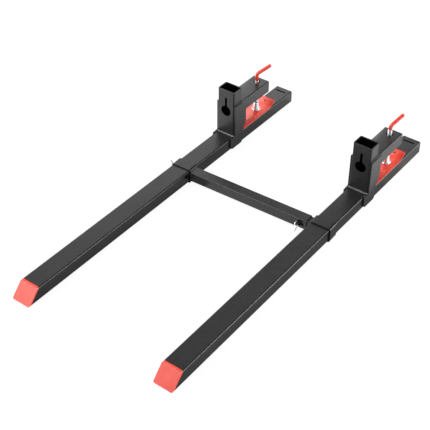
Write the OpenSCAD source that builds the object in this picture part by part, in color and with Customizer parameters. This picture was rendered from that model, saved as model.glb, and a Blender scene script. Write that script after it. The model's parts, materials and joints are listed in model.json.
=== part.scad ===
// Pair of clamp-on pallet forks joined by a telescoping stabilizer bar.
// Each fork is a rectangular tube with a C-shaped clamp at its rear end: the cutting edge of a
// loader bucket goes between the rear of the tube, the jaw, and a screw-driven pressure plate.
// Millimetres. X runs across the pair, Y from the tips to the clamps, Z up.

/* [Fork tube] */
// Length of a fork from its tip to the rear end of the jaw
fork_length = 1524; // [1300:1:1800]
// Distance between the centre lines of the two forks
fork_spacing = 596; // [450:1:800]
// Width of the fork tube
tube_w = 76; // [70:1:90]
// Height of the fork tube
tube_h = 51; // [47:1:65]
// Wall thickness of the fork tube
tube_wall = 4; // [3:0.5:6]
// Outside corner radius of the fork tube
tube_corner = 5.5; // [5:0.5:9]
// Length over which the tip slopes down to its edge
tip_run = 48; // [35:1:90]
// Thickness of the plate that closes the sloped tip
tip_plate_t = 5; // [4:0.5:8]
// Thickness of the plate that closes the rear end of the jaw
jaw_end_t = 5; // [4:0.5:8]
// Length of the drain slot across the jaw near its rear end
drain_slot_l = 48; // [30:1:52]
// Width of the drain slot
drain_slot_w = 8; // [6:0.5:12]
// Distance from the middle of the drain slot to the rear end of the jaw
drain_slot_in = 26; // [18:1:60]
// Diameter of the hole in the inner side of each fork tube, in front of the collar
side_hole_d = 14; // [8:1:20]
// Distance from the tip to the hole in the inner side
side_hole_y = 820; // [400:1:840]
// Height of the middle of that hole above the underside of the tube
side_hole_z = 34; // [20:1:36]

/* [Clamp frame] */
// Distance from the tip to the front face of the post
post_y = 1117; // [1080:1:1150]
// Depth of the post tube, front to rear
post_d = 53; // [44:1:60]
// Wall thickness of the post tube
post_wall = 4; // [3:0.5:6]
// Height of the open top of the post above the underside of the fork
post_top = 247; // [235:1:300]
// Diameter of the round part of the keyhole in the front of the post
keyhole_d = 44; // [30:1:46]
// Width of the slot above the keyhole
keyslot_w = 10; // [8:1:16]
// Height of the middle of the keyhole above the underside of the fork
keyhole_z = 156; // [125:1:160]
// Height of the top of the slot above the underside of the fork
keyslot_top = 216; // [200:1:225]
// Height of the top of the clamp arm above the underside of the fork
arm_top = 186; // [182:1:205]
// Height of the clamp arm tube
arm_h = 50; // [44:1:54]
// Wall thickness of the clamp arm tube
arm_wall = 4; // [3:0.5:6]
// Distance from the tip to the rear end of the clamp arm
arm_end_y = 1351; // [1345:1:1400]
// Thickness of the plate that closes the clamp arm
arm_end_t = 4; // [3:0.5:8]
// Diameter of the clearance hole for the screw in the top of the arm
arm_hole_d = 26; // [20:1:34]
// Thickness of the cheek plates at both sides of post, arm and jaw
cheek_t = 6; // [4:0.5:10]
// How far the front edge of a cheek plate lies behind the front face of the post
cheek_setback = 3; // [3:1:16]
// How far the toe of a cheek plate reaches ahead of the post along the fork
cheek_toe = 26; // [12:1:40]
// How far the rear edge of a cheek plate lies behind the front face of the post
cheek_reach = 72; // [66:1:90]
// How far the heel of a cheek plate is cut back from its rear edge
cheek_heel = 20; // [10:1:30]
// Height above the jaw at which the rear edge of a cheek plate starts to slope to its heel
cheek_slope_z = 40; // [30:1:50]
// Height above the jaw at which the slope of a cheek plate ends
cheek_heel_z = 14; // [4:1:20]
// Height of the lower edge of a cheek plate above the underside of the fork
cheek_low = 4; // [1:0.5:8]
// Size of the cut lower corners of a cheek plate
cheek_cut = 9; // [4:1:12]

/* [Clamp screw] */
// Distance from the tip to the axis of the clamp screw
screw_y = 1321; // [1300:1:1330]
// Diameter of the clamp screw
screw_d = 16; // [14:1:20]
// Lead of the screw thread
screw_lead = 4; // [2:0.5:5]
// Radial clearance between the screw and its nut
thread_fit = 0.05; // [0.02:0.01:0.1]
// Clearance between the screw and the hole in the bottom of the arm, on the diameter
shank_clearance = 2; // [1:0.5:4]
// Size of the long hexagonal clamp nut across its flats
clamp_nut_af = 24; // [24:1:30]
// Height of the clamp nut
clamp_nut_h = 30; // [20:1:32]
// Height of the bend in the screw above the top of the arm
bend_z = 25; // [24:1:60]
// Radius of the bend, at the middle of the rod
bend_r = 18; // [14:1:30]
// Angle between the bent handle and the vertical
bend_angle = 59; // [30:1:80]
// Length of the straight part of the handle beyond the bend
handle_l = 48; // [40:1:110]
// Diameter of the rod inside the grip
core_d = 10; // [8:0.5:11]
// Outside diameter of the dipped grip
grip_d = 14; // [13.5:0.5:20]
// Height of the lower end of the left grip above the arm, with the clamp closed
left_grip_gap = 5; // [1:0.5:22]
// Height of the lower end of the right grip above the arm, with the clamp closed
right_grip_gap = 20; // [1:0.5:22]
// Direction of the left handle seen from above, counted from the X axis
left_handle_dir = 48; // [0:1:90]
// Direction of the right handle seen from above, counted from the X axis
right_handle_dir = 65; // [0:1:90]

/* [Swivel foot] */
// Diameter of the flange of the swivel foot
foot_d = 36; // [34:1:40]
// Thickness of the flange of the swivel foot
foot_flange_t = 4; // [3:0.5:8]
// Height of the swivel foot
foot_h = 34; // [32:1:38]
// Diameter of the cone of the foot where it meets the flange
cone_base_d = 29; // [28:1:32]
// Diameter of the cone of the foot at its top
cone_top_d = 19; // [18:1:22]
// Diameter of the ball at the lower end of the screw
ball_d = 14; // [13:0.5:15]
// Diameter of the neck above the ball
neck_d = 9; // [8:0.5:10]
// Radial clearance of the ball in the foot
ball_fit = 0.3; // [0.2:0.05:0.6]
// Thickness of the foot's floor under the ball
foot_floor = 10; // [9:0.5:12]
// Length of the neck that stands clear between the foot and the thread
neck_l = 2; // [1:0.5:4]

/* [Pressure plate] */
// Width of the pressure plate
shoe_w = 75; // [60:1:75]
// Thickness of the pressure plate
shoe_t = 4; // [4:0.5:8]
// Width of the flat middle strip of the pressure plate
shoe_flat = 40; // [40:1:46]
// Slope of the two pressed side strips
shoe_slope = 10; // [8:1:22]
// Gap between the rear of the post and the front edge of the pressure plate
shoe_front_gap = 14; // [8:1:30]
// Distance from the screw axis back to the fold of the lip
fold_back = 48; // [30:1:60]
// Length of the upturned lip, measured along the fork
lip_run = 30; // [18:1:40]
// Angle of the upturned lip
lip_angle = 27; // [20:1:50]
// Diameter of the hole in the lip
lip_hole_d = 8; // [5:0.5:12]
// Clearance between the pressure plate and the jaw when the clamp is closed
rest_gap = 0.3; // [0.2:0.05:0.6]

/* [Stabilizer bar] */
// Distance from the tip to the middle of the bar
collar_y = 872; // [870:1:940]
// Angle by which the bar stands askew between the forks, its right end to the rear
rack_angle = 2.4; // [0:0.1:2.6]
// Length of a collar along its fork
collar_l = 44; // [42:1:50]
// Wall thickness of a collar
collar_wall = 3; // [2.5:0.5:5]
// Clearance all round between a collar and its fork
collar_fit = 1.5; // [1.5:0.1:2.5]
// Outside size of the square outer tube
outer_s = 42; // [38:1:44]
// Wall thickness of the outer tube
outer_wall = 3; // [2.5:0.5:4]
// Outside corner radius of the outer tube
outer_corner = 4.5; // [4:0.5:8]
// Clearance all round between the outer and the inner tube
telescope_fit = 0.5; // [0.4:0.1:1]
// Wall thickness of the inner tube
inner_wall = 3; // [2:0.5:3]
// Gap between the end of the outer tube and the right collar
bar_gap = 13; // [6:1:60]
// Length of the inner tube
inner_l = 430; // [200:1:440]
// Diameter of the sight hole beside the bar's wing screw
sight_hole_d = 11; // [6:1:14]
// Distance from the open end of the outer tube to the sight hole
sight_hole_in = 14; // [10:1:15]
// Distance from the open end of the outer tube to the wing screw
bar_screw_in = 29; // [27:1:80]

/* [Wing screws] */
// Thread diameter of the wing screws
wing_d = 10; // [8:1:12]
// Size of the welded nuts across their flats
wing_nut_af = 17; // [16:1:18]
// Height of the welded nuts
wing_nut_h = 8; // [6:0.5:12]
// Gap between a welded nut and the hub of its wing screw
wing_gap = 2; // [1:0.5:8]
// Diameter of the hub of a wing screw
hub_d = 17; // [15:1:18]
// Height of the hub
hub_h = 9; // [6:1:14]
// How much narrower the hub is at its outer end
hub_taper = 4; // [1:0.5:4.5]
// Distance from the axis to the middle of each ear
ear_out = 14; // [12:1:16]
// Height of the middle of the ears above the foot of the hub
ear_up = 13; // [11:1:16]
// Radius of the round ears
ear_r = 7.5; // [6:0.5:8]
// Thickness of the ears
ear_t = 4.5; // [3:0.5:6]
// Gap between the point of a wing screw and the tube it locks
point_gap = 0.6; // [0.6:0.1:1]

/* [Hidden] */

LEFT = -1;
RIGHT = 1;
// Overshoot of a cutter past the face that it cuts
over = 1;
// How much smaller a bend or a round end is than the rod it joins, on the diameter
seam = 0.1;
// Angle by which a bend reaches into the rods at its ends
bend_lap = 1;
round_fn = 48;
BLACK = "#3c3c3e";
RED = "#e8443a";
ZINC = "#c9cccf";

// Tip: the closing plate measured along the fork instead of square to the slope
tip_slope_l = norm([tip_run, tube_h]);
tip_plate_run = tip_plate_t * tip_slope_l / tube_h;

// Post and arm
post_rear = post_y + post_d;
arm_bottom = arm_top - arm_h;
arm_floor = arm_bottom + arm_wall;

// Pressure plate: its side strips ride on the rounded top corners of the jaw
corner_x = tube_w / 2 - tube_corner;
shoe_under = tube_h - tube_corner + tan(shoe_slope) * (corner_x - shoe_flat / 2)
    + (tube_corner + rest_gap) / cos(shoe_slope);
shoe_top = shoe_under + shoe_t;
shoe_front = post_rear + shoe_front_gap;
shoe_half = min(shoe_w, tube_w - 1) / 2;
fold_y = screw_y + fold_back;
lip_end = fold_y + lip_run;

// Screw, ball and foot
foot_top = shoe_top + foot_h;
ball_z = shoe_top + foot_floor + ball_d / 2 + ball_fit;
neck_top = foot_top + neck_l;
bend_start = arm_top + bend_z;

// Collars and bar, on the middle height of the fork tube
bar_z = tube_h / 2;
collar_w = tube_w + 2 * (collar_fit + collar_wall);
collar_h = tube_h + 2 * (collar_fit + collar_wall);
collar_corner = tube_corner + collar_fit + collar_wall;
bar_span = fork_spacing / cos(rack_angle);
bar_left = -bar_span / 2 + collar_w / 2;
bar_right = bar_span / 2 - collar_w / 2;
outer_end = bar_right - bar_gap;
inner_reach = min(inner_l, bar_right - bar_left - bar_gap - 10);
inner_s = outer_s - 2 * (outer_wall + telescope_fit);
inner_corner = outer_corner - outer_wall - telescope_fit;
bar_front = collar_y - outer_s / 2;

// Wing screws, from the seat of the nut outwards
wing_seat = wing_nut_h + wing_gap;
wing_reach = wing_seat + ear_up + ear_r;

// The model's own frame: middle of its outline, on the ground
ground_drop = collar_fit + collar_wall;
x_min = -fork_spacing / 2 - (collar_w / 2 + wing_reach) * cos(rack_angle);
x_max = fork_spacing / 2 + tube_w / 2 + cheek_t;

// Filled rectangle with rounded corners
module rounded_rect(w, h, r) {
    square([w - 2 * r, h], center = true);
    square([w, h - 2 * r], center = true);
    for (x = [-1, 1], y = [-1, 1])
        translate([x * (w / 2 - r), y * (h / 2 - r)])
            circle(r = r, $fn = round_fn);
}

// Section of a rectangular tube
module tube_section(w, h, wall, r) {
    difference() {
        rounded_rect(w, h, r);
        rounded_rect(w - 2 * wall, h - 2 * wall, max(r - wall, 0.5));
    }
}

// Extrudes a section, drawn as X and Z, along Y
module along_y(y0, y1) {
    translate([0, y1, 0])
        rotate([90, 0, 0])
            linear_extrude(height = y1 - y0)
                children();
}

// Extrudes a section, drawn as Y and Z, along X
module along_x(x0, x1) {
    translate([x0, 0, 0])
        rotate([90, 0, 90])
            linear_extrude(height = x1 - x0)
                children();
}

// Long hole through a horizontal plate, its length along X
module slot_cutter(length, width, depth) {
    cube([length - width, width, depth], center = true);
    for (x = [-1, 1])
        translate([x * (length - width) / 2, 0, 0])
            cylinder(d = width, h = depth, center = true, $fn = round_fn);
}

// Puts a piece of one fork at its side of the pair
module on_fork(side) {
    translate([side * fork_spacing / 2, 0, 0])
        children();
}

// Turns the bar with its collars and wing screws to the angle at which it stands
module on_bar() {
    translate([0, collar_y, 0])
        rotate([0, 0, rack_angle])
            translate([0, -collar_y, 0])
                children();
}

// Moves the finished model into its own frame
module in_frame() {
    translate([-(x_min + x_max) / 2, -fork_length / 2, ground_drop])
        children();
}

// Everything ahead of the sloped plane that starts y0 behind the tip's edge
module tip_cutter(y0) {
    along_x(-tube_w, tube_w)
        polygon([
            [y0 - tip_run, -tube_h],
            [y0 + 2 * tip_run, 2 * tube_h],
            [y0 - 3 * tip_run, 2 * tube_h],
            [y0 - 3 * tip_run, -tube_h]
        ]);
}

module tine(side) {
    color(BLACK) difference() {
        translate([0, 0, tube_h / 2])
            along_y(0, fork_length - jaw_end_t)
                tube_section(tube_w, tube_h, tube_wall, tube_corner);
        tip_cutter(tip_plate_run);
        translate([0, fork_length - drain_slot_in, tube_h - tube_wall / 2])
            slot_cutter(drain_slot_l, drain_slot_w, tube_wall + 2 * over);
        translate([-side * (tube_w - tube_wall) / 2, side_hole_y, side_hole_z])
            rotate([0, 90, 0])
                cylinder(d = side_hole_d, h = tube_wall + 2 * over, center = true, $fn = round_fn);
    }
}

module tip_plate() {
    color(RED) difference() {
        translate([0, 0, tube_h / 2])
            along_y(0, tip_run + tip_plate_run)
                rounded_rect(tube_w, tube_h, tube_corner);
        tip_cutter(0);
        along_x(-tube_w, tube_w)
            polygon([
                [tip_plate_run - tip_run, -tube_h],
                [tip_plate_run + 2 * tip_run, 2 * tube_h],
                [tip_plate_run + 6 * tip_run, 2 * tube_h],
                [tip_plate_run + 6 * tip_run, -tube_h]
            ]);
    }
}

module jaw_end_plate() {
    color(BLACK)
        translate([0, 0, tube_h / 2])
            along_y(fork_length - jaw_end_t, fork_length)
                rounded_rect(tube_w, tube_h, tube_corner);
}

// Cutter for the keyhole: a round hole with a narrow round-ended slot above it
module keyhole_cutter() {
    slot_end = keyslot_top - keyslot_w / 2;
    translate([0, post_y + post_wall / 2, 0]) {
        translate([0, 0, keyhole_z])
            rotate([90, 0, 0])
                cylinder(d = keyhole_d, h = post_wall + 2 * over, center = true, $fn = round_fn);
        translate([0, 0, (keyhole_z + slot_end) / 2])
            cube([keyslot_w, post_wall + 2 * over, slot_end - keyhole_z], center = true);
        translate([0, 0, slot_end])
            rotate([90, 0, 0])
                cylinder(d = keyslot_w, h = post_wall + 2 * over, center = true, $fn = round_fn);
    }
}

module post() {
    color(BLACK) difference() {
        translate([0, post_y + post_d / 2, tube_h])
            linear_extrude(height = post_top - tube_h)
                tube_section(tube_w, post_d, post_wall, tube_corner);
        keyhole_cutter();
    }
}

module arm() {
    color(BLACK) difference() {
        translate([0, 0, arm_top - arm_h / 2])
            along_y(post_rear, arm_end_y - arm_end_t)
                tube_section(tube_w, arm_h, arm_wall, tube_corner);
        translate([0, screw_y, arm_top - arm_wall / 2])
            cylinder(d = arm_hole_d, h = arm_wall + 2 * over, center = true, $fn = round_fn);
        translate([0, screw_y, arm_bottom + arm_wall / 2])
            cylinder(d = screw_d + shank_clearance, h = arm_wall + 2 * over, center = true,
                $fn = round_fn);
    }
}

module arm_end_plate() {
    color(BLACK)
        translate([0, 0, arm_top - arm_h / 2])
            along_y(arm_end_y - arm_end_t, arm_end_y)
                rounded_rect(tube_w, arm_h, tube_corner);
}

// Plate at one side of post, arm and jaw; face is -1 for its left and 1 for its right side
module cheek(face) {
    front = post_y + cheek_setback;
    toe = post_y - cheek_toe;
    rear = post_y + cheek_reach;
    heel = rear - cheek_heel;
    x0 = face > 0 ? tube_w / 2 : -tube_w / 2 - cheek_t;
    color(BLACK)
        along_x(x0, x0 + cheek_t)
            polygon([
                [toe, cheek_low + cheek_cut],
                [toe + cheek_cut, cheek_low],
                [heel - cheek_cut, cheek_low],
                [heel, cheek_low + cheek_cut],
                [heel, tube_h + cheek_heel_z],
                [rear, tube_h + cheek_slope_z],
                [rear, arm_top],
                [front, arm_top],
                [front, tube_h + (front - toe) / 10],
                [toe, tube_h]
            ]);
}

module clamp_nut() {
    color(ZINC)
        translate([0, screw_y, arm_floor])
            difference() {
                cylinder(d = clamp_nut_af / cos(30), h = clamp_nut_h, $fn = 6);
                translate([0, 0, -over])
                    cylinder(d = screw_d + 2 * thread_fit, h = clamp_nut_h + 2 * over,
                        $fn = round_fn);
            }
}

// Rod of diameter d that rises from z0, bends over and ends past the bend; dir is its heading
module bent_rod(d, z0, dir, end_l) {
    rotate([0, 0, dir]) {
        translate([0, 0, z0])
            cylinder(d = d, h = bend_start - z0, $fn = round_fn);
        translate([bend_r, 0, bend_start])
            rotate([90, 0, 0])
                rotate([0, 0, 180 - bend_angle - bend_lap])
                    rotate_extrude(angle = bend_angle + 2 * bend_lap, $fn = round_fn)
                        translate([bend_r, 0])
                            circle(d = d - seam, $fn = round_fn);
        translate([bend_r - bend_r * cos(bend_angle), 0, bend_start + bend_r * sin(bend_angle)])
            rotate([0, bend_angle, 0]) {
                cylinder(d = d, h = end_l, $fn = round_fn);
                translate([0, 0, end_l])
                    sphere(d = d - seam, $fn = round_fn);
            }
    }
}

module clamp_screw(dir, grip_bottom) {
    color(ZINC)
        translate([0, screw_y, 0]) {
            translate([0, 0, ball_z])
                sphere(d = ball_d, $fn = round_fn);
            translate([0, 0, ball_z])
                cylinder(d = neck_d, h = neck_top - ball_z, $fn = round_fn);
            translate([0, 0, neck_top])
                cylinder(d = screw_d, h = grip_bottom - neck_top, $fn = round_fn);
            bent_rod(core_d, grip_bottom - over, dir, handle_l - grip_d / 2);
        }
}

module screw_grip(dir, grip_bottom) {
    color(RED)
        translate([0, screw_y, 0])
            difference() {
                bent_rod(grip_d, grip_bottom, dir, handle_l);
                bent_rod(core_d, grip_bottom - over, dir, handle_l - grip_d / 2);
            }
}

module swivel_foot() {
    color(ZINC)
        translate([0, screw_y, shoe_top])
            difference() {
                union() {
                    cylinder(d = foot_d, h = foot_flange_t, $fn = round_fn);
                    translate([0, 0, foot_flange_t])
                        cylinder(d1 = cone_base_d, d2 = cone_top_d, h = foot_h - foot_flange_t,
                            $fn = round_fn);
                }
                translate([0, 0, ball_z - shoe_top]) {
                    sphere(d = ball_d + 2 * ball_fit, $fn = round_fn);
                    cylinder(d = neck_d + 2 * ball_fit, h = foot_h, $fn = round_fn);
                }
            }
}

// Height of the pressed plate's top above its flat middle; the strips level out at the lip's end
function pressed_z(x, y) =
    let (up = max(y - fold_y, 0))
    up * tan(lip_angle)
    - max(abs(x) - shoe_flat / 2, 0) * tan(shoe_slope) * (1 - up / lip_run);

// Two triangles for each cell of a grid, nx points wide; under turns them over
function grid_faces(nx, ny, first, under) = [
    for (j = [0 : ny - 2], i = [0 : nx - 2], half = [0, 1])
        let (a = first + j * nx + i, b = a + 1, c = b + nx, d = a + nx)
        let (t = half == 0 ? [a, d, c] : [a, c, b])
        under ? [t[2], t[1], t[0]] : t
];

module pressure_plate() {
    xs = [-shoe_half, -shoe_flat / 2, shoe_flat / 2, shoe_half];
    ys = [shoe_front, fold_y, lip_end];
    nx = len(xs);
    ny = len(ys);
    top = [for (y = ys, x = xs) [x, y, shoe_top + pressed_z(x, y)]];
    under = [for (p = top) p - [0, 0, shoe_t]];
    n = nx * ny;
    faces = concat(
        grid_faces(nx, ny, 0, false),
        grid_faces(nx, ny, n, true),
        [for (i = [0 : nx - 2]) [i, i + 1, n + i + 1, n + i]],
        [for (i = [0 : nx - 2], k = (ny - 1) * nx) [k + i + 1, k + i, n + k + i, n + k + i + 1]],
        [for (j = [0 : ny - 2]) [(j + 1) * nx, j * nx, n + j * nx, n + (j + 1) * nx]],
        [for (j = [0 : ny - 2], k = nx - 1)
            [j * nx + k, (j + 1) * nx + k, n + (j + 1) * nx + k, n + j * nx + k]]
    );
    color(RED) difference() {
        polyhedron(points = concat(top, under), faces = faces);
        translate([0, fold_y + lip_run / 2, shoe_top + lip_run / 2 * tan(lip_angle)])
            rotate([lip_angle, 0, 0])
                cylinder(d = lip_hole_d, h = 4 * shoe_t, center = true, $fn = round_fn);
    }
}

// Puts a piece at one end of the bar, before the bar is turned
module on_bar_end(side) {
    translate([side * bar_span / 2, 0, 0])
        children();
}

module collar(side) {
    color(BLACK) difference() {
        on_bar_end(side)
            translate([0, 0, bar_z])
                along_y(collar_y - collar_l / 2, collar_y + collar_l / 2)
                    tube_section(collar_w, collar_h, collar_wall, collar_corner);
        if (side == LEFT)
            on_bar_end(side)
                translate([-collar_w / 2 + collar_wall / 2, collar_y, bar_z])
                    rotate([0, 90, 0])
                        cylinder(d = wing_d + 1, h = collar_wall + 2 * over, center = true,
                            $fn = round_fn);
    }
}

module bar_outer_tube() {
    color(BLACK) difference() {
        translate([0, collar_y, bar_z])
            along_x(bar_left, outer_end)
                tube_section(outer_s, outer_s, outer_wall, outer_corner);
        for (hole = [[bar_screw_in, wing_d + 1], [sight_hole_in, sight_hole_d]])
            translate([outer_end - hole[0], bar_front + outer_wall / 2, bar_z])
                rotate([90, 0, 0])
                    cylinder(d = hole[1], h = outer_wall + 2 * over, center = true,
                        $fn = round_fn);
    }
}

module bar_inner_tube() {
    color(BLACK)
        translate([0, collar_y, bar_z])
            along_x(bar_right - inner_reach, bar_right)
                tube_section(inner_s, inner_s, inner_wall, inner_corner);
}

// Hexagonal nut that stands on the plane z = 0
module weld_nut() {
    color(ZINC) difference() {
        cylinder(d = wing_nut_af / cos(30), h = wing_nut_h, $fn = 6);
        translate([0, 0, -over])
            cylinder(d = wing_d + 2 * thread_fit, h = wing_nut_h + 2 * over, $fn = round_fn);
    }
}

// Wing screw along +Z; its shank reaches down to -depth
module wing_screw(depth) {
    color(ZINC) {
        translate([0, 0, -depth])
            cylinder(d = wing_d, h = depth + wing_seat + hub_h / 2, $fn = round_fn);
        translate([0, 0, wing_seat])
            cylinder(d1 = hub_d, d2 = hub_d - hub_taper, h = hub_h, $fn = round_fn);
        translate([0, ear_t / 2, wing_seat])
            rotate([90, 0, 0])
                linear_extrude(height = ear_t)
                    for (s = [-1, 1]) {
                        translate([s * ear_out, ear_up])
                            circle(r = ear_r, $fn = round_fn);
                        polygon([
                            [0, 1],
                            [s * (hub_d / 2 - 1), 1],
                            [s * (ear_out + ear_r * 0.9), ear_up - ear_r * 0.4],
                            [s * (ear_out - ear_r * 0.6), ear_up + ear_r * 0.8],
                            [0, hub_h - 1]
                        ]);
                    }
    }
}

// Frame of the collar's screw: its axis points away from the left collar
module at_collar_screw() {
    translate([-bar_span / 2 - collar_w / 2, collar_y, bar_z])
        rotate([0, -90, 0])
            children();
}

// Frame of the bar's screw: its axis points forward from the outer tube
module at_bar_screw() {
    translate([outer_end - bar_screw_in, bar_front, bar_z])
        rotate([90, 0, 0])
            rotate([0, 0, 90])
                children();
}

in_frame() on_fork(LEFT) tine(LEFT);  // left_tine
in_frame() on_fork(LEFT) tip_plate();  // left_tip_plate
in_frame() on_fork(LEFT) jaw_end_plate();  // left_jaw_end_plate
in_frame() on_fork(LEFT) post();  // left_post
in_frame() on_fork(LEFT) arm();  // left_arm
in_frame() on_fork(LEFT) arm_end_plate();  // left_arm_end_plate
in_frame() on_fork(LEFT) cheek(LEFT);  // left_outer_cheek
in_frame() on_fork(LEFT) cheek(RIGHT);  // left_inner_cheek
in_frame() on_fork(LEFT) clamp_nut();  // left_clamp_nut
in_frame() on_fork(LEFT) clamp_screw(left_handle_dir, arm_top + left_grip_gap);  // left_clamp_screw
in_frame() on_fork(LEFT) screw_grip(left_handle_dir, arm_top + left_grip_gap);  // left_screw_grip
in_frame() on_fork(LEFT) swivel_foot();  // left_swivel_foot
in_frame() on_fork(LEFT) pressure_plate();  // left_pressure_plate
in_frame() on_fork(RIGHT) tine(RIGHT);  // right_tine
in_frame() on_fork(RIGHT) tip_plate();  // right_tip_plate
in_frame() on_fork(RIGHT) jaw_end_plate();  // right_jaw_end_plate
in_frame() on_fork(RIGHT) post();  // right_post
in_frame() on_fork(RIGHT) arm();  // right_arm
in_frame() on_fork(RIGHT) arm_end_plate();  // right_arm_end_plate
in_frame() on_fork(RIGHT) cheek(RIGHT);  // right_outer_cheek
in_frame() on_fork(RIGHT) cheek(LEFT);  // right_inner_cheek
in_frame() on_fork(RIGHT) clamp_nut();  // right_clamp_nut
in_frame() on_fork(RIGHT) clamp_screw(right_handle_dir, arm_top + right_grip_gap);  // right_clamp_screw
in_frame() on_fork(RIGHT) screw_grip(right_handle_dir, arm_top + right_grip_gap);  // right_screw_grip
in_frame() on_fork(RIGHT) swivel_foot();  // right_swivel_foot
in_frame() on_fork(RIGHT) pressure_plate();  // right_pressure_plate
in_frame() on_bar() collar(LEFT);  // left_collar
in_frame() on_bar() bar_outer_tube();
in_frame() on_bar() bar_inner_tube();
in_frame() on_bar() collar(RIGHT);  // right_collar
in_frame() on_bar() at_collar_screw() weld_nut();  // collar_weld_nut
in_frame() on_bar() at_bar_screw() weld_nut();  // bar_weld_nut
in_frame() on_bar() at_collar_screw() wing_screw(collar_wall + collar_fit - point_gap);  // collar_wing_screw
in_frame() on_bar() at_bar_screw() wing_screw(outer_wall + telescope_fit - point_gap);  // bar_wing_screw
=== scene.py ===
"""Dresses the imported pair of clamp-on pallet forks: coats, welds, threads, stage and camera.

Lengths are metres in the model's own frame: X across the pair, Y from tips to clamps, Z up.
"""

import json
import math

import bpy
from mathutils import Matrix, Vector

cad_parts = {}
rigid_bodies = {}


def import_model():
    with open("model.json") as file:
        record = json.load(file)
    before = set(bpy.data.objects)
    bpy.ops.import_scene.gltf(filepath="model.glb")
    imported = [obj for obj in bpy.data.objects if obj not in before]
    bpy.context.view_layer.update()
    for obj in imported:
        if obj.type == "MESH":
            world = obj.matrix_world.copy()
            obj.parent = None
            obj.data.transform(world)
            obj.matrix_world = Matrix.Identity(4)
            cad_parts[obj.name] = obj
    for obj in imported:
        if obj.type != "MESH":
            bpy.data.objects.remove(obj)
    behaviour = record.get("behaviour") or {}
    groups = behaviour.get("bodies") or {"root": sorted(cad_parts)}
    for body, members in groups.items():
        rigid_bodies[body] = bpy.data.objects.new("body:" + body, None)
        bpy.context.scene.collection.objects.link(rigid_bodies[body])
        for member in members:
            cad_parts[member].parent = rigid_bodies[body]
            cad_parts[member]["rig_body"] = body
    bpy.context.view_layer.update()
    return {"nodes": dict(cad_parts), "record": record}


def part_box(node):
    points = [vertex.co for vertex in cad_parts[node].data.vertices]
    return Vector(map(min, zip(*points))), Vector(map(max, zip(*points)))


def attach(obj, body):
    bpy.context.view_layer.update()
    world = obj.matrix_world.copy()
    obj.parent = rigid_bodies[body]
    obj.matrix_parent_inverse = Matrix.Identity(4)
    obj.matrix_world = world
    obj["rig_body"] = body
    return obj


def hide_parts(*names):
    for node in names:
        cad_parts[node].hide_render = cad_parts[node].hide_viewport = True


MM = 0.001
SIDES = ("left", "right")
UP = Vector((0, 0, 1))
PINCH = 0.02 * MM  # radius of the last ring where a skin closes in a point
NEARLY_UPRIGHT = 0.999

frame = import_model()
nodes = frame["nodes"]


def middle(node):
    """The middle of a node's box."""
    lo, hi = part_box(node)
    return (lo + hi) / 2


# Meshes

def new_piece(name, vertices, faces, smooth=True):
    """Makes a mesh object from plain vertices and faces."""
    mesh = bpy.data.meshes.new(name)
    mesh.from_pydata([tuple(v) for v in vertices], [], faces)
    mesh.validate()
    mesh.update()
    if smooth:
        mesh.shade_smooth()
    piece = bpy.data.objects.new(name, mesh)
    bpy.context.scene.collection.objects.link(piece)
    return piece


def skin(rings, vertices, faces):
    """Adds a closed skin over rings of points, all with the same number of points."""
    start = len(vertices)
    n = len(rings[0])
    for ring in rings:
        vertices.extend(ring)
    for i in range(len(rings) - 1):
        a = start + i * n
        b = a + n
        for k in range(n):
            m = (k + 1) % n
            faces.append((a + k, a + m, b + m, b + k))
    faces.append(tuple(start + k for k in reversed(range(n))))
    last = start + (len(rings) - 1) * n
    faces.append(tuple(last + k for k in range(n)))


def ring_at(centre, direction, radius, count, radius_of=None):
    """Points on a circle around direction; radius_of(angle) may change the radius."""
    direction = direction.normalized()
    side = direction.orthogonal().normalized()
    if abs(direction.z) > NEARLY_UPRIGHT:
        side = Vector((1, 0, 0))
    other = direction.cross(side)
    points = []
    for k in range(count):
        angle = 2 * math.pi * k / count
        r = radius_of(angle) if radius_of else radius
        points.append(centre + r * (math.cos(angle) * side + math.sin(angle) * other))
    return points


# Materials

NOISE_SPAN = (0.3, 0.7)  # most of a noise lies between these
TINT_SPAN = (0.35, 0.65)
# the nearly black of the painted shade inside the posts
PAINTED_SHADE_BLACK = (0.003, 0.003, 0.003, 1)
MIX_FACTOR, MIX_A, MIX_B, MIX_RESULT = 0, 6, 7, 2  # sockets of a Mix node for colours


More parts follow.
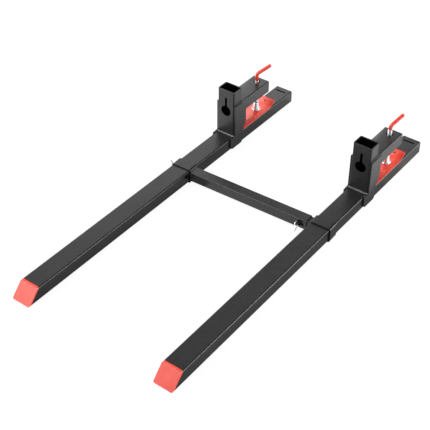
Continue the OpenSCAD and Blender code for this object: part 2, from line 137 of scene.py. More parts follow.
class Coat:
    """A Principled material and the few nodes that vary it."""

    def __init__(self, name, color, roughness, metallic=0.0):
        self.material = bpy.data.materials.new(name)
        self.material.use_nodes = True
        self.tree = self.material.node_tree
        self.shader = self.tree.nodes["Principled BSDF"]
        self.shader.inputs["Base Color"].default_value = (*color, 1)
        self.shader.inputs["Roughness"].default_value = roughness
        self.shader.inputs["Metallic"].default_value = metallic
        self.material.diffuse_color = (*color, 1)
        self.coords = self.tree.nodes.new("ShaderNodeTexCoord")
        self.height = None

    def noise(self, scale, detail, stretch=(1, 1, 1)):
        """Noise with features about 1/scale metres wide."""
        mapping = self.tree.nodes.new("ShaderNodeMapping")
        mapping.inputs["Scale"].default_value = stretch
        self.tree.links.new(self.coords.outputs["Object"], mapping.inputs["Vector"])
        noise = self.tree.nodes.new("ShaderNodeTexNoise")
        noise.inputs["Scale"].default_value = scale
        noise.inputs["Detail"].default_value = detail
        self.tree.links.new(mapping.outputs["Vector"], noise.inputs["Vector"])
        return noise.outputs["Fac"]

    def vary(self, socket, fac, low, high):
        """Lets a noise move a number socket between low and high."""
        span = self.tree.nodes.new("ShaderNodeMapRange")
        span.inputs["From Min"].default_value = NOISE_SPAN[0]
        span.inputs["From Max"].default_value = NOISE_SPAN[1]
        span.inputs["To Min"].default_value = low
        span.inputs["To Max"].default_value = high
        self.tree.links.new(fac, span.inputs["Value"])
        self.tree.links.new(span.outputs["Result"], self.shader.inputs[socket])

    def tint(self, fac, dark, light):
        """Lets a noise move the base colour between two colours."""
        ramp = self.tree.nodes.new("ShaderNodeValToRGB")
        for element, position, color in zip(ramp.color_ramp.elements, TINT_SPAN, (dark, light)):
            element.position = position
            element.color = (*color, 1)
        self.tree.links.new(fac, ramp.inputs["Fac"])
        self.tree.links.new(ramp.outputs["Color"], self.shader.inputs["Base Color"])

    def math(self, operation, first, second=0.0):
        """A Math node; each input is a socket or a number."""
        node = self.tree.nodes.new("ShaderNodeMath")
        node.operation = operation
        for i, value in enumerate((first, second)):
            if isinstance(value, float):
                node.inputs[i].default_value = value
            else:
                self.tree.links.new(value, node.inputs[i])
        return node.outputs[0]

    def paint_shade_inside(self, low, high):
        """Paints shade: turns the coat nearly black and dull inside a box in the piece's own
        coordinates.
        """
        split = self.tree.nodes.new("ShaderNodeSeparateXYZ")
        self.tree.links.new(self.coords.outputs["Object"], split.inputs[0])
        inside = None
        for along, lowest, highest in zip(split.outputs, low, high):
            off = self.math("SUBTRACT", along, (lowest + highest) / 2)
            distance = self.math("ABSOLUTE", off)
            within = self.math("LESS_THAN", distance, (highest - lowest) / 2)
            inside = within if inside is None else self.math("MULTIPLY", inside, within)
        base = self.shader.inputs["Base Color"]
        mix = self.tree.nodes.new("ShaderNodeMix")
        mix.data_type = "RGBA"
        self.tree.links.new(inside, mix.inputs[MIX_FACTOR])
        self.tree.links.new(base.links[0].from_socket, mix.inputs[MIX_A])
        mix.inputs[MIX_B].default_value = PAINTED_SHADE_BLACK
        self.tree.links.new(mix.outputs[MIX_RESULT], base)
        shine = self.shader.inputs["Specular IOR Level"]
        outside = self.math("SUBTRACT", 1.0, inside)
        self.tree.links.new(self.math("MULTIPLY", outside, shine.default_value), shine)

    def bump(self, fac, distance, strength):
        """Adds relief of the given depth on top of what is there."""
        bump = self.tree.nodes.new("ShaderNodeBump")
        bump.inputs["Distance"].default_value = distance
        bump.inputs["Strength"].default_value = strength
        self.tree.links.new(fac, bump.inputs["Height"])
        if self.height:
            self.tree.links.new(self.height, bump.inputs["Normal"])
        self.height = bump.outputs["Normal"]
        self.tree.links.new(self.height, self.shader.inputs["Normal"])


def black_powder_coat(name="black_coat", shade_box=None):
    """Satin black powder coat with fine orange peel; the box given, if any, gets painted shade
    inside.
    """
    coat = Coat(name, (0.012, 0.012, 0.0125), 0.45)
    coat.tint(coat.noise(14, 4), (0.01, 0.01, 0.0105), (0.014, 0.014, 0.0145))
    coat.vary("Roughness", coat.noise(240, 5), 0.26, 0.4)
    coat.bump(coat.noise(260, 2), 0.06 * MM, 0.4)
    coat.bump(coat.noise(700, 2), 0.08 * MM, 0.6)
    coat.bump(coat.noise(2600, 2), 0.03 * MM, 0.5)
    if shade_box:
        coat.paint_shade_inside(*shade_box)
    return coat.material


def sheen_painted_weld_coat():
    """The powder coat on a weld, glossier and with a lighter grey base that is a painted sheen."""
    coat = Coat("sheen_painted_weld_coat", (0.06, 0.06, 0.061), 0.26)
    coat.shader.inputs["Specular IOR Level"].default_value = 0.9
    coat.tint(coat.noise(90, 3), (0.09, 0.09, 0.091), (0.17, 0.17, 0.172))
    coat.vary("Roughness", coat.noise(300, 3), 0.2, 0.34)
    coat.bump(coat.noise(900, 2), 0.1 * MM, 0.5)
    return coat.material


def red_paint():
    """Bright red paint with a soft gloss and a slight flow in its surface."""
    coat = Coat("red_paint", (0.86, 0.06, 0.035), 0.32)
    coat.shader.inputs["Coat Weight"].default_value = 0.5
    coat.shader.inputs["Coat Roughness"].default_value = 0.15
    coat.tint(coat.noise(30, 4), (0.87, 0.048, 0.02), (0.94, 0.066, 0.03))
    coat.vary("Roughness", coat.noise(80, 4), 0.28, 0.4)
    coat.bump(coat.noise(450, 2), 0.06 * MM, 0.5)
    return coat.material


def red_vinyl():
    """Dipped vinyl of the grips: thick, glossy and slightly uneven."""
    coat = Coat("red_grip", (0.9, 0.05, 0.02), 0.25)
    coat.shader.inputs["Coat Weight"].default_value = 0.4
    coat.shader.inputs["Coat Roughness"].default_value = 0.08
    coat.tint(coat.noise(60, 3), (0.86, 0.04, 0.015), (0.93, 0.06, 0.03))
    coat.vary("Roughness", coat.noise(120, 3), 0.2, 0.34)
    coat.bump(coat.noise(160, 2), 0.15 * MM, 0.6)
    return coat.material


def zinc_plate():
    """Bright zinc plating with faint streaks along the rod."""
    coat = Coat("zinc", (0.78, 0.79, 0.81), 0.28, metallic=1.0)
    coat.tint(coat.noise(120, 4, (1, 1, 0.2)), (0.7, 0.71, 0.74), (0.85, 0.86, 0.87))
    coat.vary("Roughness", coat.noise(260, 4), 0.14, 0.28)
    coat.bump(coat.noise(1500, 2), 0.02 * MM, 0.5)
    return coat.material


MATERIALS = {
    "black_coat": black_powder_coat(),
    "red_paint": red_paint(),
    "red_grip": red_vinyl(),
    "zinc": zinc_plate(),
}
# the coat of the bead at the post's foot, with a painted sheen
WELD_WITH_PAINTED_SHEEN = sheen_painted_weld_coat()


def paint(piece, material):
    """Gives a piece one material."""
    piece.data.materials.clear()
    piece.data.materials.append(material)


# The CAD nodes keep their shape and get their coat and slightly broken edges

BROKEN_EDGE = 0.5 * MM
TIP_EDGE = 2.2 * MM
PLATE_EDGE = 0.9 * MM


def soften(piece, width, segments=2, angle=35):
    """Breaks the edges of a piece that turn by more than angle degrees."""
    bevel = piece.modifiers.new("edges", "BEVEL")
    bevel.width = width
    bevel.segments = segments
    bevel.limit_method = "ANGLE"
    bevel.angle_limit = math.radians(angle)
    bevel.harden_normals = True
    bevel.use_clamp_overlap = True


for part in frame["record"]["subparts"]:
    piece = nodes[part["node"]]
    paint(piece, MATERIALS[part["material_slot"]])
    if part["material_slot"] == "black_coat":
        soften(piece, BROKEN_EDGE)
    elif part["node"].endswith("tip_plate"):
        soften(piece, TIP_EDGE, segments=4)


# Inside the posts the shade is painted: a nearly black box that reaches a little way into the
# walls

POST_WALL = 4 * MM
INTO_WALL = 0.4 * MM
BELOW_POST = 1 * MM
LIT_RIM = 3 * MM


def paint_post_shade(side):
    """Gives a post its own coat, with painted shade in the box between the post's walls."""
    post = nodes[side + "_post"]
    lo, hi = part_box(side + "_post")
    inset = POST_WALL - INTO_WALL
    to_piece = post.matrix_world.inverted()
    corners = (to_piece @ (lo + Vector((inset, inset, -BELOW_POST))),
               to_piece @ (hi - Vector((inset, inset, LIT_RIM))))
    low = [min(pair) for pair in zip(*corners)]
    high = [max(pair) for pair in zip(*corners)]
    paint(post, black_powder_coat(side + "_post_coat", (low, high)))


for side in SIDES:
    paint_post_shade(side)


# Welds

RIPPLE = 2.6 * MM  # from one ripple of a bead to the next
RIPPLE_DEPTH = 0.14
RINGS_PER_RIPPLE = 5
LEAST_RINGS = 8
BEAD_SIDES = 12
DRIFTS = ((0.05, 7 * MM, 0), (0.03, 2.9 * MM, 1))  # size, reach and start of each slow wave
LEAST_SHARE = 0.03
POST_BEAD = 4.6 * MM
THIN_BEAD = 3 * MM
TUBE_CORNER = 5.5 * MM  # what the round corners of fork tubes take from a flat side
CHEEK_IN = 1 * MM  # the bead across the post's foot ends this far inside the cheeks' faces
BEFORE_POST = 0.5 * MM


def bead_share(s, length, radius):
    """The share of its full radius that a bead has at the distance s along it."""
    ripple = 1 - RIPPLE_DEPTH * (s / RIPPLE % 1.0) ** 2
    drift = 1 + sum(size * math.sin(s / reach + start) for size, reach, start in DRIFTS)
    from_end = min(s, length - s) / radius
    round_end = math.sqrt(max(0.0, 1 - (1 - min(from_end, 1.0)) ** 2))
    return max(ripple * drift * round_end, LEAST_SHARE)


def weld(name, body, lines, radius, coat=MATERIALS["black_coat"]):
    """Weld beads along straight lines, each a pair of points, with ripples along them."""
    vertices, faces = [], []
    for a, b in lines:
        a, b = Vector(a), Vector(b)
        length = (b - a).length
        steps = max(LEAST_RINGS, round(length / (RIPPLE / RINGS_PER_RIPPLE)))
        rings = []
        for i in range(steps + 1):
            r = radius * bead_share(length * i / steps, length, radius)
            rings.append(ring_at(a.lerp(b, i / steps), b - a, r, BEAD_SIDES))
        skin(rings, vertices, faces)
    bead = new_piece(name, vertices, faces)
    paint(bead, coat)
    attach(bead, body)


def post_and_arm_welds(side):
    """The bead across the foot of the post, lighter with a painted sheen, and the beads behind it
    at the arm.
    """
    body = side + "_fork"
    post_lo, post_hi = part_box(side + "_post")
    arm_lo, arm_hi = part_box(side + "_arm")
    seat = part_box(side + "_tine")[1].z
    cheek_boxes = [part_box(side + "_outer_cheek"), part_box(side + "_inner_cheek")]
    left = min(lo.x for lo, hi in cheek_boxes) + CHEEK_IN
    right = max(hi.x for lo, hi in cheek_boxes) - CHEEK_IN
    front = post_lo.y - BEFORE_POST
    weld(side + "_post_weld", body, [
        ((left, front, seat), (right, front, seat)),
        ((post_lo.x + TUBE_CORNER, post_hi.y, seat), (post_hi.x - TUBE_CORNER, post_hi.y, seat)),
    ], POST_BEAD, WELD_WITH_PAINTED_SHEEN)
    weld(side + "_arm_weld", body, [
        ((arm_lo.x + TUBE_CORNER, arm_lo.y, z), (arm_hi.x - TUBE_CORNER, arm_lo.y, z))
        for z in (arm_lo.z, arm_hi.z)
    ], THIN_BEAD)


SEAM_IN = 0.5 * MM  # the cheeks' beads lie this far inside the fork tube's sides
ARM_SEAM_IN = 1.5 * MM
ARM_SEAM_DOWN = 1 * MM
TOE_SEAM_DOWN = 0.6 * MM
SEAM_END = 2 * MM  # how far a bead stops short of a cheek's end
POST_CORNER = 4 * MM  # the post's round corner, behind which its bead starts
POST_CLEAR = 3 * MM  # from the toe's bead to the post
HEEL_IN = 20 * MM  # from a cheek's rear end to the bead on its heel
HEEL_LOW = 12 * MM
HEEL_HIGH = 6 * MM


def cheek_weld(side):
    """Beads along the cheeks' edges: by the post, by the arm, on the toe and at the heel."""
    post_lo, post_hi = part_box(side + "_post")
    tine_lo, tine_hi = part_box(side + "_tine")
    toe_z = tine_hi.z - TOE_SEAM_DOWN
    lines = []
    for lo, hi in (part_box(side + "_outer_cheek"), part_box(side + "_inner_cheek")):
        out = 1 if lo.x > post_lo.x else -1
        x = tine_hi.x if out > 0 else tine_lo.x
        seam = x - out * SEAM_IN
        arm_seam = x - out * ARM_SEAM_IN
        arm_z = hi.z - ARM_SEAM_DOWN
        heel = hi.y - HEEL_IN
        lines += [
            ((seam, post_lo.y + POST_CORNER, hi.z), (seam, post_hi.y, hi.z)),
            ((arm_seam, post_hi.y, arm_z), (arm_seam, hi.y - SEAM_END, arm_z)),
            ((seam, lo.y + SEAM_END, toe_z), (seam, post_lo.y - POST_CLEAR, toe_z)),
            ((x, heel, tine_lo.z + HEEL_LOW), (x, heel, tine_hi.z - HEEL_HIGH)),
        ]
    weld(side + "_cheek_weld", side + "_fork", lines, THIN_BEAD)


for side in SIDES:
    post_and_arm_welds(side)
    cheek_weld(side)


# The bar stands a little askew: its axis runs from one collar's middle to the other's

collar_lo, collar_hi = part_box("left_collar")
COLLAR_HALF = (collar_hi.x - collar_lo.x) / 2
BAR_START = middle("left_collar")
BAR_AXIS = (middle("right_collar") - BAR_START) * Vector((1, 1, 0))
BAR_SPAN = BAR_AXIS.length
BAR_AXIS.normalize()
BAR_ACROSS = UP.cross(BAR_AXIS)
BAR_CORNER = 4 * MM
OUTER_BEAD = 2.6 * MM
# The inner tube's bead is sunk into the collar, so that the outer tube can come up to it
INNER_BEAD = 1.6 * MM
INNER_BEAD_SUNK = 2.2 * MM


def square_weld(name, body, node, along, radius):
    """A weld all round a square tube where it meets a collar, at a distance along the bar."""
    lo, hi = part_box(node)
    half = (hi.z - lo.z) / 2
    flat = half - BAR_CORNER
    place = Vector((BAR_START.x, BAR_START.y, (lo.z + hi.z) / 2)) + BAR_AXIS * along
    lines = []
    for a, b in ((UP, BAR_ACROSS), (BAR_ACROSS, UP)):
        for way in (-1, 1):
            edge = place + a * half * way
            lines.append((edge - b * flat, edge + b * flat))
    weld(name, body, lines, radius)


square_weld("outer_tube_weld", "bar_left", "bar_outer_tube", COLLAR_HALF, OUTER_BEAD)
square_weld("inner_tube_weld", "bar_right", "bar_inner_tube",
            BAR_SPAN - COLLAR_HALF + INNER_BEAD_SUNK, INNER_BEAD)


# Pressure plates, pressed from one sheet: the CAD's flat strips with real bends between them

SHEET = 4 * MM
FLAT_HALF = 20 * MM
STRIP_SLOPE = math.tan(math.radians(10))
STRIP_BEND = 4 * MM
LIP_SLOPE = math.tan(math.radians(27))
LIP_BEND = 7 * MM
LIP_HOLE = 8 * MM
HOLE_SIDES = 32
FOLD_BACK = 48 * MM  # from the foot's axis to the fold of the lip
PLATE_ACROSS = 36
PLATE_ALONG = 96


def bend(u, width):
    """Rises like u where u is large and stays at 0 where it is small, rounded over about width."""
    return (math.sqrt(u * u + width * width) + u) / 2


def sheet_faces(across, along):
    """Faces of a sheet whose points are a grid for its top and then the same grid below."""
    n = across + 1
    under = n * (along + 1)
    faces = []
    for j in range(along):
        for i in range(across):
            a = j * n + i
            faces.append((a, a + 1, a + n + 1, a + n))
            faces.append((under + a, under + a + n, under + a + n + 1, under + a + 1))
    for i in range(across):
        a = along * n + i
        faces.append((i + 1, i, under + i, under + i + 1))
        faces.append((a, a + 1, under + a + 1, under + a))
    for j in range(along):
        a = j * n
        b = a + across
        faces.append((a, a + n, under + a + n, under + a))
        faces.append((b + n, b, under + b, under + b + n))
    return faces


def drill(piece, centre, direction, radius):
    """Cuts a round hole through a piece."""
    ends = [centre + direction * d for d in (-4 * SHEET, 4 * SHEET)]
    vertices, faces = [], []
    skin([ring_at(end, direction, radius, HOLE_SIDES) for end in ends], vertices, faces)
    cutter = new_piece(piece.name + "_cutter", vertices, faces, smooth=False)
    cut = piece.modifiers.new("hole", "BOOLEAN")
    cut.operation = "DIFFERENCE"
    cut.solver = "EXACT"
    cut.object = cutter
    bpy.context.view_layer.update()
    seen = piece.evaluated_get(bpy.context.evaluated_depsgraph_get())
    done = bpy.data.meshes.new_from_object(seen)
    piece.modifiers.clear()
    piece.data = done
    bpy.data.objects.remove(cutter)


def pressed_plate(side):
    """The formed sheet with its hole, standing for the CAD plate."""
    lo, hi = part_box(side + "_pressure_plate")
    foot_lo, foot_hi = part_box(side + "_swivel_foot")
    middle_x = (lo.x + hi.x) / 2
    half = (hi.x - lo.x) / 2
    fold = (foot_lo.y + foot_hi.y) / 2 + FOLD_BACK
    run = hi.y - fold

    def height(x, y):
        up = bend(y - fold, LIP_BEND)
        drop = STRIP_SLOPE * bend(abs(x) - FLAT_HALF, STRIP_BEND)
        return foot_lo.z - drop * (1 - min(up / run, 1.0)) + LIP_SLOPE * up

    vertices = []
    for lower in (0, SHEET):
        for j in range(PLATE_ALONG + 1):
            y = lo.y + (hi.y - lo.y) * j / PLATE_ALONG
            for i in range(PLATE_ACROSS + 1):
                x = -half + 2 * half * i / PLATE_ACROSS
                vertices.append((middle_x + x, y, height(x, y) - lower))
    plate = new_piece(side + "_pressed_plate", vertices, sheet_faces(PLATE_ACROSS, PLATE_ALONG))
    hole_y = fold + run / 2
    square_to_lip = Vector((0, -LIP_SLOPE, 1)).normalized()
    drill(plate, Vector((middle_x, hole_y, height(0, hole_y))), square_to_lip, LIP_HOLE / 2)
    plate.data.shade_smooth()
    soften(plate, PLATE_EDGE, segments=3, angle=50)
    paint(plate, MATERIALS["red_paint"])
    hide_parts(side + "_pressure_plate")
    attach(plate, side + "_shoe")


for side in SIDES:
    pressed_plate(side)


# Swivel feet, turned, with the socket for the screw's ball; a profile's sizes are millimetres

SOCKET_R = 7.3
SOCKET_UP = 17.3  # from the foot's underside to the socket's centre
MOUTH_R = 4.8
RIM_LOWER_R = 1.2
RIM_UPPER_R = 1.6
CONE_R, CONE_Z = 13.9, 7.6  # where the waist ends and the cone starts
CONE_IN = 4.2
FOOT_SIDES = 72
SOCKET_RINGS = 8
QUARTER = (0.4, 0.8, 1.2, math.pi / 2)


def arc(centre_r, centre_z, radius, angles):
    """Points of a profile on an arc, with angles counted up from straight outwards."""
    return [(centre_r + radius * math.cos(a), centre_z + radius * math.sin(a)) for a in angles]


def foot_profile(rim, high):
    """Radius and height along the foot: flange with a rolled rim, waist, cone and socket."""
    pinch = PINCH / MM
    profile = [(pinch, 0), (rim - RIM_LOWER_R, 0)]
    profile += arc(rim - RIM_LOWER_R, RIM_LOWER_R, RIM_LOWER_R, [a - math.pi / 2 for a in QUARTER])
    profile += arc(rim - RIM_UPPER_R, 2 * RIM_LOWER_R, RIM_UPPER_R, (0, *QUARTER))
    profile += [(15.6, 4.05), (15.0, 4.35), (14.5, 5.1), (14.2, 6.2), (CONE_R, CONE_Z)]
    cone_high = high - 1 - CONE_Z
    profile += [(CONE_R - CONE_IN * t, CONE_Z + cone_high * t) for t in (0.25, 0.5, 0.75, 1)]
    profile += [(9.4, high - 0.35), (8.8, high), (MOUTH_R + 0.8, high), (MOUTH_R, high - 0.8)]
    mouth = math.asin(MOUTH_R / SOCKET_R)
    for i in range(SOCKET_RINGS + 1):
        a = mouth + (math.pi - mouth) * i / SOCKET_RINGS
        profile.append((max(SOCKET_R * math.sin(a), pinch), SOCKET_UP + SOCKET_R * math.cos(a)))
    return profile


def turned_foot(side):
    """The turned foot, standing for the CAD foot."""
    lo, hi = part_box(side + "_swivel_foot")
    centre = (lo + hi) / 2
    profile = foot_profile((hi.x - lo.x) / 2 / MM, (hi.z - lo.z) / MM)
    rings = [ring_at(Vector((centre.x, centre.y, lo.z + z * MM)), UP, r * MM, FOOT_SIDES)
             for r, z in profile]
    vertices, faces = [], []
    skin(rings, vertices, faces)
    foot = new_piece(side + "_turned_foot", vertices, faces)
    paint(foot, MATERIALS["zinc"])
    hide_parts(side + "_swivel_foot")
    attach(foot, side + "_shoe")


for side in SIDES:
    turned_foot(side)


# Clamp screws with their thread; their other sizes are those of the part's source

BALL_R = 7 * MM
NECK_R = 4.5 * MM
NECK_CLEAR = 2 * MM  # from the foot's top to the start of the thread
ROD_R = 8 * MM
CHAMFER = 2 * MM
LEAD = 4 * MM
THREAD_DEPTH = 1.7 * MM
CREST_HALF = 0.17  # half of the thread's crest, in leads
FLANK = 0.13  # the thread's flank, in leads
RINGS_PER_LEAD = 12
BALL_RINGS = 12
BEND_RINGS = 8
END_RINGS = 4
SCREW_SIDES = 40
CORE_R = 5 * MM
CORE_GAP = 0.2 * MM
GRIP_R = 7 * MM
BEND_UP = 25 * MM  # from the arm's top to the start of the bend
BEND_R = 18 * MM
BEND_ANGLE = math.radians(59)
HANDLE = 48 * MM
HEADING = {"left": 48, "right": 65}  # degrees, seen from above and counted from X


def thread_depth(z, angle):
    """How deep the thread's groove is at a height and an angle."""
    phase = (z / LEAD - angle / (2 * math.pi)) % 1.0
    off = abs(phase - 0.5)
    return THREAD_DEPTH * min(max((off - CREST_HALF) / FLANK, 0.0), 1.0)


def turned_ring(centre, way, heading, radius):
    """A circle square to way whose first point lies as the upright rings' first point does."""
    across = UP.cross(heading)
    inward = across.cross(way)
    turn = math.atan2(heading.y, heading.x)
    points = []
    for k in range(SCREW_SIDES):
        angle = 2 * math.pi * k / SCREW_SIDES - turn
        points.append(centre + radius * (math.cos(angle) * inward + math.sin(angle) * across))
    return points


def bent_end(start, heading):
    """Rings over the rod's bend from start on, its straight handle and its rounded end."""
    rings = []
    centre = start + heading * BEND_R
    for i in range(1, BEND_RINGS + 1):
        a = BEND_ANGLE * i / BEND_RINGS
        place = centre - heading * BEND_R * math.cos(a) + UP * BEND_R * math.sin(a)
        way = heading * math.sin(a) + UP * math.cos(a)
        rings.append(turned_ring(place, way, heading, CORE_R))
    end = place + way * (HANDLE - GRIP_R)
    rings.append(turned_ring(end, way, heading, CORE_R))
    for i in range(1, END_RINGS + 1):
        a = math.pi / 2 * i / END_RINGS
        r = max(CORE_R * math.cos(a), PINCH)
        rings.append(turned_ring(end + way * CORE_R * math.sin(a), way, heading, r))
    return rings


def clamp_screw(side):
    """The whole screw: ball, neck, threaded shank and the bent rod inside the grip."""
    foot_lo, foot_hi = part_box(side + "_swivel_foot")
    axis_x = (foot_lo.x + foot_hi.x) / 2
    axis_y = (foot_lo.y + foot_hi.y) / 2
    ball_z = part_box(side + "_clamp_screw")[0].z + BALL_R
    shank_low = foot_hi.z + NECK_CLEAR
    shank_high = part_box(side + "_screw_grip")[0].z
    bend_start = Vector((axis_x, axis_y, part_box(side + "_arm")[1].z + BEND_UP))
    rings = []

    def add(z, r, radius_of=None):
        rings.append(ring_at(Vector((axis_x, axis_y, z)), UP, r, SCREW_SIDES, radius_of))

    neck_angle = math.asin(NECK_R / BALL_R)
    for i in range(BALL_RINGS + 1):
        a = math.pi - (math.pi - neck_angle) * i / BALL_RINGS
        add(ball_z + BALL_R * math.cos(a), max(BALL_R * math.sin(a), PINCH))
    add(shank_low, NECK_R)
    steps = round((shank_high - shank_low) / (LEAD / RINGS_PER_LEAD))
    for i in range(steps + 1):
        z = shank_low + (shank_high - shank_low) * i / steps
        chamfer = max(0.0, CHAMFER - min(z - shank_low, shank_high - z))

        def radius_of(angle, z=z, chamfer=chamfer):
            return min(ROD_R - thread_depth(z, angle), ROD_R - chamfer)

        add(z, ROD_R, radius_of)
    add(shank_high + CORE_GAP, CORE_R)
    add(bend_start.z, CORE_R)
    turn = math.radians(HEADING[side])
    rings += bent_end(bend_start, Vector((math.cos(turn), math.sin(turn), 0)))
    vertices, faces = [], []
    skin(rings, vertices, faces)
    screw = new_piece(side + "_threaded_screw", vertices, faces)
    paint(screw, MATERIALS["zinc"])
    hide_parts(side + "_clamp_screw")
    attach(screw, side + "_screw")


for side in SIDES:
    clamp_screw(side)


# Wing screws, cast: the CAD shape with all its edges run into each other

VOXEL = 0.7 * MM
SMOOTHINGS = 6


def cast(node):
    """A copy of a CAD node with the rounded edges of a casting."""
    copy = bpy.data.objects.new(node + "_cast", nodes[node].data.copy())
    bpy.context.scene.collection.objects.link(copy)
    remesh = copy.modifiers.new("remesh", "REMESH")
    remesh.mode = "VOXEL"
    remesh.voxel_size = VOXEL
    remesh.use_smooth_shade = True
    smooth = copy.modifiers.new("smooth", "SMOOTH")
    smooth.iterations = SMOOTHINGS
    smooth.factor = 0.5
    paint(copy, MATERIALS["zinc"])
    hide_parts(node)
    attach(copy, nodes[node]["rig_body"])


for node in ("collar_wing_screw", "bar_wing_screw"):
    cast(node)


# Stage: floor, world, reflected cards and lamps

WHITE = (1, 1, 1, 1)
FLOOR_HALF = 9.0
FLOOR_PALE = 0.8
FLOOR_GLOW = 0.92
FLOOR_SOFT = 0.14  # how pale the seen floor is under its glow, which keeps a faint shadow
AMBIENT = 0.44


def larger(tree, first, second):
    """A Math node that gives the larger of two sockets."""
    node = tree.nodes.new("ShaderNodeMath")
    node.operation = "MAXIMUM"
    tree.links.new(first, node.inputs[0])
    tree.links.new(second, node.inputs[1])
    return node.outputs[0]


def seen_as(tree, shader, seen):
    """Shows seen to camera, glossy and transmission rays, and shader to all others."""
    path = tree.nodes.new("ShaderNodeLightPath").outputs
    either = larger(tree, path["Is Camera Ray"], path["Is Glossy Ray"])
    every = larger(tree, either, path["Is Transmission Ray"])
    mix = tree.nodes.new("ShaderNodeMixShader")
    tree.links.new(every, mix.inputs["Fac"])
    tree.links.new(shader, mix.inputs[1])
    tree.links.new(seen, mix.inputs[2])
    return mix.outputs[0]


def empty_material(name):
    """A material with no nodes but its output; returns it and the output's Surface socket."""
    material = bpy.data.materials.new(name)
    material.use_nodes = True
    material.node_tree.nodes.clear()
    out = material.node_tree.nodes.new("ShaderNodeOutputMaterial")
    return material, out.inputs["Surface"]


def diffuse(tree, grey):
    """A Diffuse node of a grey."""
    node = tree.nodes.new("ShaderNodeBsdfDiffuse")
    node.inputs["Color"].default_value = (grey, grey, grey, 1)
    return node.outputs[0]


def glow(tree, strength):
    """An Emission node of a strength."""
    node = tree.nodes.new("ShaderNodeEmission")
    node.inputs["Strength"].default_value = strength
    return node.outputs[0]


def background(tree, strength):
    """A white Background node of a strength."""
    node = tree.nodes.new("ShaderNodeBackground")
    node.inputs["Color"].default_value = WHITE
    node.inputs["Strength"].default_value = strength
    return node.outputs[0]


def white_floor():
    """A pale floor that the camera sees as white, with a faint shadow."""
    material, surface = empty_material("floor")
    tree = material.node_tree
    both = tree.nodes.new("ShaderNodeAddShader")
    tree.links.new(glow(tree, FLOOR_GLOW), both.inputs[0])
    tree.links.new(diffuse(tree, FLOOR_SOFT), both.inputs[1])
    tree.links.new(seen_as(tree, diffuse(tree, FLOOR_PALE), both.outputs[0]), surface)
    return material


corners = [(x * FLOOR_HALF, y * FLOOR_HALF, 0) for x, y in ((-1, -1), (1, -1), (1, 1), (-1, 1))]
floor = new_piece("floor", corners, [(0, 1, 2, 3)], smooth=False)
paint(floor, white_floor())

world = bpy.data.worlds.new("studio")
bpy.context.scene.world = world
world.use_nodes = True
tree = world.node_tree
tree.nodes.clear()
out = tree.nodes.new("ShaderNodeOutputWorld")
seen = seen_as(tree, background(tree, AMBIENT), background(tree, 1.0))
tree.links.new(seen, out.inputs["Surface"])


def flag(name, strength, cards):
    """Cards that only reflections show, as a photographer hangs them round a shiny object: the
    glowing ones are painted reflected light, the dark ones painted shade.
    """
    vertices, faces = [], []
    for corners in cards:
        faces.append(tuple(range(len(vertices), len(vertices) + 4)))
        vertices += corners
    card = new_piece(name, vertices, faces, smooth=False)
    material, surface = empty_material(name)
    tree = material.node_tree
    tree.links.new(glow(tree, strength), surface)
    paint(card, material)
    card.visible_camera = False
    card.visible_diffuse = False
    card.visible_shadow = False
    card.visible_transmission = False


# Places of the cards are counted from the left fork's middle and tip

left_x = middle("left_tine").x
pitch = middle("right_tine").x - left_x
tip_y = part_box("left_tip_plate")[0].y


def placed(x0, y0, x1, y1, z):
    """A level card's corners, counted from the left fork's tip."""
    x0, y0, x1, y1 = left_x + x0, tip_y + y0, left_x + x1, tip_y + y1
    return [(x0, y0, z), (x1, y0, z), (x1, y1, z), (x0, y1, z)]


def upright(x0, y0, x1, y1, low, high):
    """An upright card's corners, counted from the left fork's tip."""
    x0, y0, x1, y1 = left_x + x0, tip_y + y0, left_x + x1, tip_y + y1
    return [(x0, y0, low), (x1, y1, low), (x1, y1, high), (x0, y0, high)]


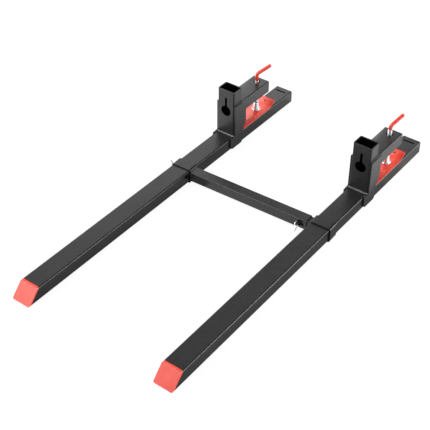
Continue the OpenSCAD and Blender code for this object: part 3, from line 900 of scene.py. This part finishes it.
CARD_LIFT = 1.5 * MM  # cards on the floor lie this far above it
CEILING = 2.2
CARDS = [
    # On the floor round both forks, dimmer than the floor and brighter towards the rear: the
    # floor's painted shade, reflected in the tubes' right sides
    ("low_flag", 0.34, [
        placed(-0.06, -0.1, 0.10, 1.34, CARD_LIFT),
        placed(pitch - 0.06, -0.1, pitch + 0.09, 1.28, CARD_LIFT),
    ]),
    ("low_flag_2", 0.47, [
        placed(-0.06, 1.34, 0.10, 1.43, CARD_LIFT),
        placed(pitch - 0.06, 1.28, pitch + 0.09, 1.4, CARD_LIFT),
    ]),
    ("low_flag_3", 0.65, [
        placed(-0.06, 1.43, 0.10, 1.53, CARD_LIFT),
        placed(pitch - 0.06, 1.4, pitch + 0.09, 1.56, CARD_LIFT),
    ]),
    # On the floor beside the clamps, the collars and the posts
    ("cheek_flag", 0.6, [placed(0.10, 1.15, 0.19, 1.4, CARD_LIFT)]),
    ("between_flag", 0.5, [placed(pitch - 0.3, 0.9, pitch - 0.06, 1.1, CARD_LIFT)]),
    ("edge_flag", 0.05, [
        placed(0.1, 0.9, 0.29, 1.12, CARD_LIFT),
        placed(pitch + 0.09, 0.85, pitch + 0.32, 1.14, CARD_LIFT),
    ]),
    # Bright floor on the left of the left fork, and beside and behind the clamps
    ("left_bounce", 1.4, [placed(-0.9, 0.5, -0.07, 1.2, CARD_LIFT)]),
    ("rear_bounce", 1.15, [
        placed(0.14, 1.4, pitch - 0.1, 1.95, CARD_LIFT),
        placed(pitch + 0.1, 1.32, pitch + 0.6, 1.95, CARD_LIFT),
    ]),
    # Upright at the right rear: dark above and bright below
    ("wall_flag", 0.0, [upright(0.5, 3.9, 3.5, 0.9, 0.9, 2.1)]),
    ("wall_card", 5.0, [upright(0.5, 3.9, 2.15, 2.25, 0.02, 0.75)]),
    ("wall_card_2", 12.0, [upright(2.15, 2.25, 3.5, 0.9, 0.02, 0.75)]),
    # Overhead before the tips, for what faces the front and for the sloped tip plates
    ("front_card", 10.0, [placed(-1.9, -2.6, -0.5, -0.72, 2.0)]),
    ("tip_card", 2.2, [placed(-0.75, -0.68, -0.2, -0.25, 2.0)]),
    ("tip_card_2", 0.7, [placed(-1.3, -0.68, -0.8, -0.25, 2.0)]),
    # Dark above the lips of the pressure plates, as painted shade in their reflections
    ("lip_flag", 0.0, [
        placed(-0.15, 1.22, 0.05, 1.45, 0.5),
        placed(pitch - 0.15, 1.22, pitch + 0.05, 1.45, 0.5),
    ]),
    # Overhead, in fields from the tips back and to the left, for all that faces up
    ("high_flag", 0.4, [
        placed(-1.25, -4.0, 4.0, 1.5, CEILING),
        placed(-1.25, 1.5, 0.1, 2.0, CEILING),
    ]),
    ("high_flag_2", 0.58, [
        placed(-1.25, 2.0, 0.1, 2.7, CEILING),
        placed(-3.5, -4.0, -1.25, 1.7, CEILING),
    ]),
    ("high_flag_3", 0.32, [placed(-1.25, 2.7, 0.1, 3.9, CEILING)]),
    ("corner_flag", 0.0, [placed(0.1, 1.5, 4.0, 3.9, CEILING)]),
    ("high_card", 0.95, [placed(-1.25, 3.9, 4.0, 6.5, CEILING)]),
    ("sky_card", 1.35, [placed(-3.5, 1.9, -1.35, 3.7, CEILING)]),
    ("sky_card_2", 2.0, [placed(-3.5, 3.7, -1.25, 6.5, CEILING)]),
    # Small, bright and low on the left of the lips: a painted highlight on their left halves
    ("lip_card", 5.0, [
        placed(-0.175, 1.33, -0.1, 1.42, 0.25),
        placed(pitch - 0.15, 1.33, pitch - 0.07, 1.42, 0.25),
    ]),
]
for name, strength, cards in CARDS:
    flag(name, strength, cards)


def softbox(name, place, target, size, watts, shine=True):
    """A square area lamp that looks at target; without shine, reflections don't show it."""
    data = bpy.data.lights.new(name, "AREA")
    data.shape = "SQUARE"
    data.size = size
    data.energy = watts
    lamp = bpy.data.objects.new(name, data)
    lamp.location = place
    lamp.rotation_euler = (Vector(target) - Vector(place)).to_track_quat("-Z", "Y").to_euler()
    lamp.visible_glossy = shine
    bpy.context.scene.collection.objects.link(lamp)


softbox("key", (-1.9, -1.3, 2.8), (0, 0.2, 0), 1.3, 60)
softbox("fill", (2.6, 0.6, 2.4), (0.2, 0.1, 0), 1.8, 40, shine=False)
softbox("rear", (-1.4, 3.4, 2.4), (0, 0.5, 0), 1.6, 72, shine=False)
softbox("front", (-2.2, -3.3, 1.7), (0, -0.4, 0), 1.6, 13)


# The camera's place is counted from the left fork: its middle, its tip and its underside

CAMERA_PLACE = Vector((1.9360, -1.5120, 2.3210))
CAMERA_AZIMUTH = math.radians(37.10)
CAMERA_ELEVATION = math.radians(39.40)
FOCAL_PX = 1016.8
IMAGE_PX = 430
SENSOR_MM = 36

camera_data = bpy.data.cameras.new("camera")
camera_data.sensor_width = SENSOR_MM
camera_data.lens = FOCAL_PX / IMAGE_PX * SENSOR_MM
camera = bpy.data.objects.new("camera", camera_data)
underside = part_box("left_tine")[0].z
camera.location = CAMERA_PLACE + Vector((left_x, tip_y, underside))
camera.rotation_euler = (math.pi / 2 - CAMERA_ELEVATION, 0, CAMERA_AZIMUTH)
bpy.context.scene.collection.objects.link(camera)
bpy.context.scene.camera = camera
bpy.context.scene.view_settings.view_transform = "Standard"
